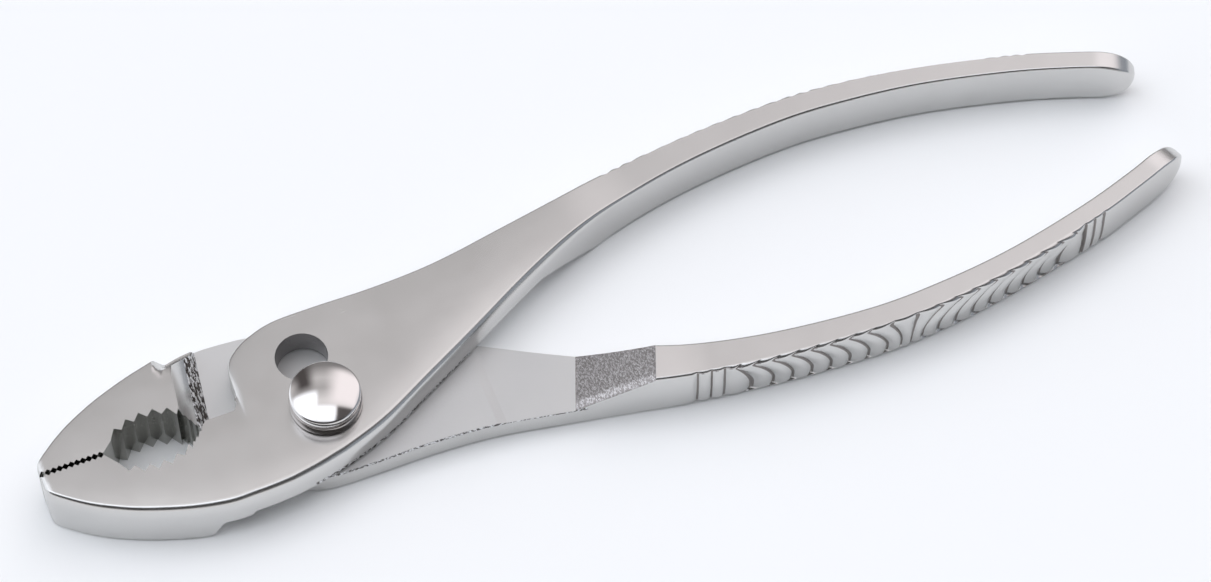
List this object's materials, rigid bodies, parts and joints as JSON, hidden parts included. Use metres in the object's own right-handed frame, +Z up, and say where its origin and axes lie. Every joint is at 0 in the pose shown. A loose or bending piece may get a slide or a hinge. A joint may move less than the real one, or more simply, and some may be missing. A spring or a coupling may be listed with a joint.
{
  "type": "slip-joint pliers",
  "caption": "Slip-joint pliers: crossed forged halves on a domed pivot bolt, a figure-eight slot for a wider jaw setting, fine tip teeth, a coarse pipe grip and knurled handles.",
  "frame": {"origin": "the pivot bolt's axis on the plane that the closed pliers rest on", "axes": "+X from the pivot towards the handle ends, +Y towards the slotted half's handle, +Z up towards the bolt's domed head"},
  "size_m": [0.2061, 0.0499, 0.0163],
  "materials": {
    "satin_chrome": "satin chrome plate over ground and polished forged steel",
    "polished_chrome": "mirror-polished chrome plate",
    "plated_hardware": "bright plated turned steel"
  },
  "bodies": {
    "pin_side": {"pin_half": "satin_chrome"},
    "pivot": {"pivot_bolt": "polished_chrome", "thrust_washer": "plated_hardware", "pivot_nut": "plated_hardware"},
    "slotted_side": {"slotted_half": "satin_chrome"}
  },
  "joints": [
    {"name": "jaw_pivot", "type": "hinge", "parent": "pin_side", "child": "pivot", "pos_m": [0, 0, 0], "axis": [0, 0, 1], "range_deg": [0, 45]},
    {"name": "slip_joint", "type": "slide", "parent": "pivot", "child": "slotted_side", "axis": [0.0896, -0.996, 0], "range_m": [0, 0.01]}
  ]
}
